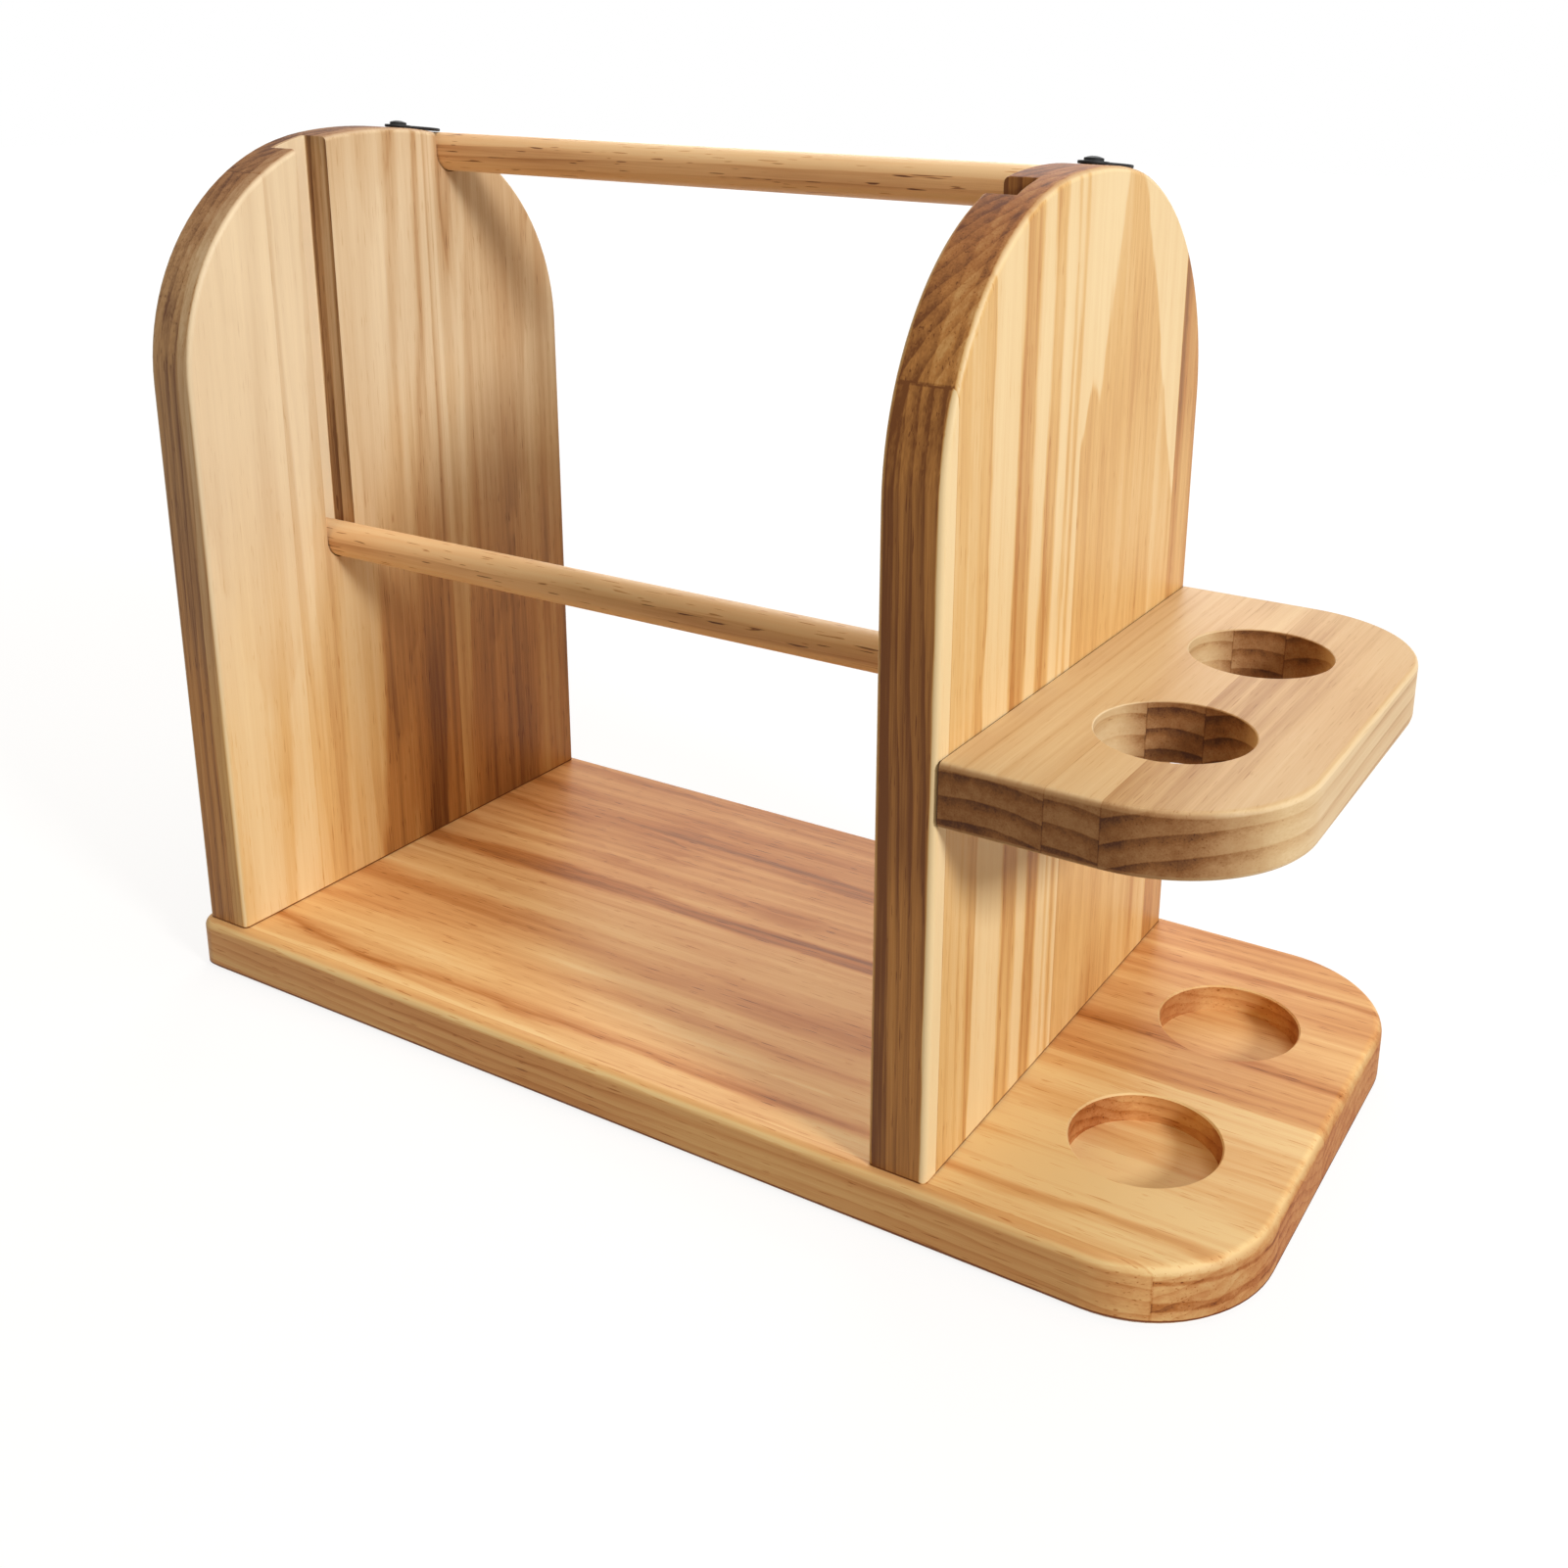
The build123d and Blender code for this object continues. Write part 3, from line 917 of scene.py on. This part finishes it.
# %% Left panel
left_panel_wood = wood(
    Board(
        "left_panel_pine", "zyx", (left_low.x + left_high.x) / 2, low=-90.0, high=90.0,
        seams=(-51.0, 21.5), seed=11.0, slant=0.05,
    ),
    pine_tones,
    # Near the foot, the dark stripes behind the middle are partly painted shade from the right panel's
    # shadow.
    bands=[
        (-86.0, 0.3), (-76.0, 0.16), (-72.0, 0.2), (-66.0, 0.46), (-62.0, 0.28), (-52.0, 0.2),
        (-50.0, 0.42), (-46.0, 0.56), (-41.0, 0.56), (-37.0, 0.34), (-24.0, 0.44), (-20.0, 0.88),
        (-16.0, 0.8), (-8.0, 0.78), (0.0, 0.8), (4.0, 0.96), (10.0, 0.94), (13.0, 0.74), (17.0, 0.92),
        (19.5, 0.74), (21.4, 0.78), (21.6, 0.56), (23.4, 0.6), (24.5, 0.78), (40.0, 0.84), (60.0, 0.78),
        (86.0, 0.74),
    ],
    far_bands=[
        (-86.0, 0.14), (-76.0, 0.16), (-70.0, 0.34), (-64.0, 0.24), (-56.0, 0.08), (-51.2, 0.14),
        (-50.8, 0.36), (-46.0, 0.46), (-42.0, 0.38), (-37.0, 0.42), (-24.0, 0.42), (-18.0, 0.34),
        (-15.0, 0.38), (-12.5, 0.6), (-10.0, 0.58), (-7.0, 0.32), (-2.0, 0.34), (0.0, 0.64),
        (3.0, 0.56), (6.0, 0.36), (13.0, 0.4), (16.0, 0.7), (18.0, 0.56), (21.4, 0.44), (21.6, 0.34),
        (23.4, 0.36), (24.5, 0.54), (60.0, 0.56), (86.0, 0.58),
    ],
    fade=(60.0, 200.0),
    far_tones=pale_pine_tones,
    layers=[
        Layer(-90.0, 90.0, 3.5, 7.5, tone=0.56),
        Layer(-90.0, 90.0, -4.0, -1.0, tone=0.86),
        # Painted light: the palest tone, on the floor of the long groove where the key light falls.
        Layer(-37.0, -24.0, -2.4, -0.6, tone=-0.1, edges_only=False),
    ],
    joints=[panel_foot_shadow],
    edge_tone=0.79,
    grain=Grain(pore_depth=0.16),
)

# %% [markdown]
# The base is rosier wood with a livelier sway, and its end beneath the shelf is paler than
# the rest. Layers make its front right corner pale with two brown stripes, and a painted
# shadow line lies at its foot, where it meets the table.

# %% Base board
base_wood = wood(
    Board(
        "base_pine", "xyz", (base_low.z + base_high.z) / 2, low=-92.0, high=92.0,
        seams=(-84.6, -7.3), seed=23.0, sway=8.0,
    ),
    rose_pine_tones,
    bands=[
        (-89.0, 0.36), (-84.7, 0.36), (-84.5, 0.1), (-80.0, 0.18), (-77.0, 0.28), (-74.0, 0.72),
        (-70.0, 0.42), (-62.0, 0.24), (-52.0, 0.54), (-46.0, 0.3), (-36.0, 0.6), (-31.0, 0.68),
        (-26.0, 0.34), (-14.0, 0.3), (-7.2, 0.4), (-3.0, 0.36), (1.0, 0.76), (6.0, 0.8),
        (9.0, 0.44), (16.0, 0.42), (20.0, 0.68), (23.0, 0.66), (27.0, 0.44), (40.0, 0.52), (46.0, 0.66),
        (60.0, 0.6), (66.0, 0.8), (71.0, 0.62), (89.0, 0.68),
    ],
    far_bands=[
        (-89.0, 0.36), (-84.7, 0.36), (-84.5, 0.0), (-80.0, 0.0), (-76.0, 0.04), (-73.0, 0.46),
        (-70.0, 0.04), (-62.0, 0.0), (-54.0, 0.16), (-48.0, 0.0), (-40.0, 0.02), (-30.0, 0.16),
        (-22.0, 0.04), (-8.0, 0.1), (-6.0, 0.4), (6.0, 0.44), (13.0, 0.44), (15.0, 0.76), (18.0, 0.68),
        (22.0, 0.36), (40.0, 0.3), (50.0, 0.46), (60.0, 0.34), (63.0, 0.66), (67.0, 0.42),
        (76.0, 0.54), (89.0, 0.46),
    ],
    fade=(55.0, 95.0),
    layers=[
        Layer(-84.6, -48.0, -12.0, 12.0, tone=0.26),
        Layer(-84.6, -48.0, -4.2, -1.6, tone=0.6),
        Layer(-84.6, -48.0, 3.6, 4.8, tone=0.6),
    ],
    # Painted shadow: a thin dark line low on the sides, where the board meets the table.
    joints=[JointShadowLine("deep", -7.4, 0.9)],
    edge_tone=0.36,
    end_depth=0.1,
    grain=Grain(edge_ring_depth=0.12, streak_depth=0.5),
)

# %% [markdown]
# The shelf's grain runs from front to back, so its front edge, and the walls of its holes
# where they face front or back, are end grain with wide rings. Fine lines mark the stave
# beside the panel, where a painted shadow line marks the joint. The rods and dowels are
# beech: close, even wood with many short flecks.

# %% Cup shelf, rods and dowels
shelf_wood = wood(
    Board(
        "shelf_pine", "yxz", (shelf_low.z + shelf_high.z) / 2, low=95.0, high=190.0,
        seams=(128.3, 143.0), seed=31.0, sway=1.6,
    ),
    grey_pine_tones,
    bands=[
        (99.5, 0.34), (101.5, 0.34), (102.3, 0.48), (103.1, 0.34), (106.0, 0.34), (106.8, 0.5),
        (107.6, 0.34), (110.0, 0.36), (110.8, 0.5), (111.6, 0.36), (115.0, 0.36), (115.8, 0.5),
        (116.6, 0.36), (120.5, 0.38), (121.3, 0.5), (122.1, 0.38), (128.2, 0.42), (128.4, 0.4),
        (142.9, 0.4), (143.1, 0.56), (155.0, 0.58), (165.0, 0.5), (184.0, 0.44),
    ],
    # Painted shadow: a thin dark line where the shelf meets the panel.
    joints=[JointShadowLine("across", shelf_low.x / mm, 0.5)],
    edge_tone=0.28,
    end_depth=0.34,
    grain=Grain(ring_spacing=6.2, edge_ring_depth=0.22, pore_depth=0.12),
)
beech = wood(
    Board("oiled_beech", "xyz", 0.0, low=-90.0, high=90.0, seed=41.0),
    beech_tones,
    bands=[(-90.0, 0.2), (90.0, 0.2)],
    edge_tone=0.46,
    grain=Grain(
        ring_depth=0.14, streak_depth=0.3, pore_depth=0.46, pore_size=(9.0, 0.6), painted_edge_highlight=0.0,
    ),
)

# %% [markdown]
# ## Black paint and plated steel
# The latches and their screws are dipped in matt black paint, which lies slightly uneven.
# The screws under the base are plated steel, bright with small dull marks. A picture of
# either would be wasted on pieces this small, so both come from noise: it makes the shade
# and the gloss uneven, and the paint's finest specks feed a shallow bump.

# %% Metal finishes
speck_scale, coat_scale, mark_scale = 1800.0, 240.0, 900.0
paint_roughness, uneven_paint = 0.52, 0.16
paint_gloss = 0.35
paint_relief_depth, paint_relief_strength = 0.05 * mm, 0.25
steel_roughness, marked_steel = 0.26, 0.14


def speckle(recipe, scale, **more):
    """Even noise in the metal's surface."""
    place = recipe.add("ShaderNodeTexCoord", {}, {}, "Object")
    return recipe.add("ShaderNodeTexNoise", {}, {"Vector": place, "Scale": scale, **more}, "Fac")


def black_paint():
    recipe = Recipe(bpy.data.materials.new("black_paint"))
    specks = speckle(recipe, speck_scale, Detail=2.0)
    coat = speckle(recipe, coat_scale)
    shade = coat.ramp([(0.3, colour(15, 15, 16)), (0.7, colour(24, 24, 25))])
    relief = {"Height": specks, "Strength": paint_relief_strength, "Distance": paint_relief_depth}
    normal = recipe.add("ShaderNodeBump", {}, relief, "Normal")
    roughness = paint_roughness + coat * uneven_paint
    return recipe.finish(shade, roughness, Normal=normal, **{"Specular IOR Level": paint_gloss})


def plated_steel():
    recipe = Recipe(bpy.data.materials.new("plated_steel"))
    marks = speckle(recipe, mark_scale)
    shade = marks.ramp([(0.3, colour(196, 196, 190)), (0.7, colour(218, 217, 210))])
    return recipe.finish(shade, steel_roughness + marks * marked_steel, Metallic=1.0)


def dress(piece, material):
    """Gives the whole piece one finish."""
    piece.data.materials.clear()
    piece.data.materials.append(material)


black = black_paint()
steel = plated_steel()
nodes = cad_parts
for piece, material in (
    (left_panel, left_panel_wood),
    (right_panel, right_panel_wood),
    (cup_shelf, shelf_wood),
):
    dress(piece, material)
for name, material in {
    "base_board": base_wood,
    "upper_rod": beech,
    "lower_rod": beech,
    "shelf_dowels": beech,
    "left_latch": black,
    "right_latch": black,
    "latch_screws": black,
    "panel_screws": steel,
}.items():
    nodes[name].material_slots[0].material = material
print("finishes:", sorted(m.name for m in bpy.data.materials if m.users))

# %% [markdown]
# ## Floor and backdrop
# The rack stands on a white table that shows no horizon. A white floor under this light
# would also throw a lot of light back up, so its own colour is grey, and only what looks
# straight at it, or sees it in a mirror or through glass, finds it mixed with white. The
# mix leaves a light shadow of the rack.

# %% White floor
white = (1.0, 1.0, 1.0, 1.0)
white_strength = 1.08
white_share, more_white_away = 0.8, 0.2
white_from, white_to = 0.3, 1.4
floor_reach = 4.0
floor_thickness = 10 * mm


def looked_at(recipe):
    """One where something looks at the surface, and nought where only light falls on it."""
    seen = 0.0
    for kind in ("Is Camera Ray", "Is Glossy Ray", "Is Transmission Ray"):
        seen = recipe.add("ShaderNodeLightPath", {}, {}, kind).further(seen)
    return seen


def white_floor():
    recipe = Recipe(bpy.data.materials.new("white_table"))
    seen = looked_at(recipe)
    place = recipe.add("ShaderNodeTexCoord", {}, {}, "Object")
    away = (place.channel(0) ** 2.0 + place.channel(1) ** 2.0).root().rise(white_from, white_to)
    table = recipe.blend(seen, colour(184, 180, 173), colour(242, 241, 239))
    plain = recipe.add("ShaderNodeBsdfDiffuse", {}, {"Color": table})
    glow = recipe.add("ShaderNodeEmission", {}, {"Color": white, "Strength": white_strength})
    share = seen * (white_share + away * more_white_away)
    mixed = recipe.add("ShaderNodeMixShader", {}, {0: share, 1: plain, 2: glow})
    recipe.add("ShaderNodeOutputMaterial", {}, {"Surface": mixed}, None)
    return recipe.holder


floor = skin("table_top", [
    [Vector((x * floor_reach, y * floor_reach, z)) for x, y in ((-1, -1), (1, -1), (1, 1), (-1, 1))]
    for z in (-floor_thickness, 0.0)
])
dress(floor, white_floor())
print("table top", 2 * floor_reach, "m across")

# %% [markdown]
# The world works in the same way: it lights the rack a little from all round, with a warm
# colour, and shows plain white to whatever looks at it.

# %% World
fill_level = 0.22
world = bpy.data.worlds.new("studio")
bpy.context.scene.world = world
sky = Recipe(world)
fill = sky.add("ShaderNodeBackground", {}, {"Color": colour(255, 216, 145), "Strength": fill_level})
backdrop = sky.add("ShaderNodeBackground", {}, {"Color": white, "Strength": 1.0})
choose = sky.add("ShaderNodeMixShader", {}, {0: looked_at(sky), 1: fill, 2: backdrop})
sky.add("ShaderNodeOutputWorld", {}, {"Surface": choose}, None)
print("world of", len(world.node_tree.nodes), "nodes")

# %% [markdown]
# ## Lamps
# One soft key light stands off the cup end, a little in front and low, so that the faces
# that look to the right are bright and the front edges are dark. A wide lamp overhead
# lights the flat tops, and a weak one behind keeps the far side readable.

# %% Three soft lamps
middle = (frame_low + frame_high) / 2


def lamp(name, direction, distance, size, level):
    """A square lamp aimed at the rack. Level 1 lights a white card facing it to white."""
    data = bpy.data.lights.new(name, "AREA")
    data.shape = "SQUARE"
    data.size = size
    data.energy = level * (pi * distance) ** 2
    light = bpy.data.objects.new(name, data)
    bpy.context.scene.collection.objects.link(light)
    towards = Vector(direction).normalized()
    light.location = middle + towards * distance
    light.rotation_euler = towards.to_track_quat("Z", "Y").to_euler()


lamp("key", direction=(0.9, -0.25, 0.41), distance=3.5, size=0.58, level=0.69)
lamp("overhead", direction=(0.15, 0.2, 1.0), distance=1.5, size=1.4, level=0.58)
lamp("behind", direction=(-0.5, 1.0, 0.7), distance=1.8, size=1.0, level=0.3)
print("lamps:", sorted(light.name for light in bpy.data.lights))

# %% [markdown]
# ## Camera
# The camera was fitted to the photograph's edges: it stands in front of the rack and to its
# right, a little above its crown. The photograph is cropped off centre, which is what shift
# is for.

# %% Camera
picture = 1601
focal_pixels = 1758.65
axis_x, axis_y = 890.22, 587.67
camera_place = Vector((280.5, -433.1, 310.8)) * mm
right = Vector((0.8634, 0.5042, 0.0156))
down = Vector((0.1630, -0.2496, -0.9545))
ahead = right.cross(down)

camera_data = bpy.data.cameras.new("camera")
camera_data.sensor_width = 36.0
camera_data.lens = camera_data.sensor_width * focal_pixels / picture
camera_data.shift_x = (picture / 2 - axis_x) / picture
camera_data.shift_y = (axis_y - picture / 2) / picture
camera_data.clip_start = 10 * mm
camera = bpy.data.objects.new("camera", camera_data)
bpy.context.scene.collection.objects.link(camera)
turn = Matrix((right, -down, -ahead)).transposed()
camera.matrix_world = Matrix.Translation(camera_place) @ turn.to_4x4()
bpy.context.scene.camera = camera
bpy.context.scene.view_settings.view_transform = "Standard"
shift = (round(camera_data.shift_x, 4), round(camera_data.shift_y, 4))
print("lens", round(camera_data.lens, 2), "mm, shift", shift)

# %% [markdown]
# ## The end
# The dressed rack must not be larger than its frame, whose box is printed at the start. This
# last step only brings the scene up to date.

# %% The end
bpy.context.view_layer.update()
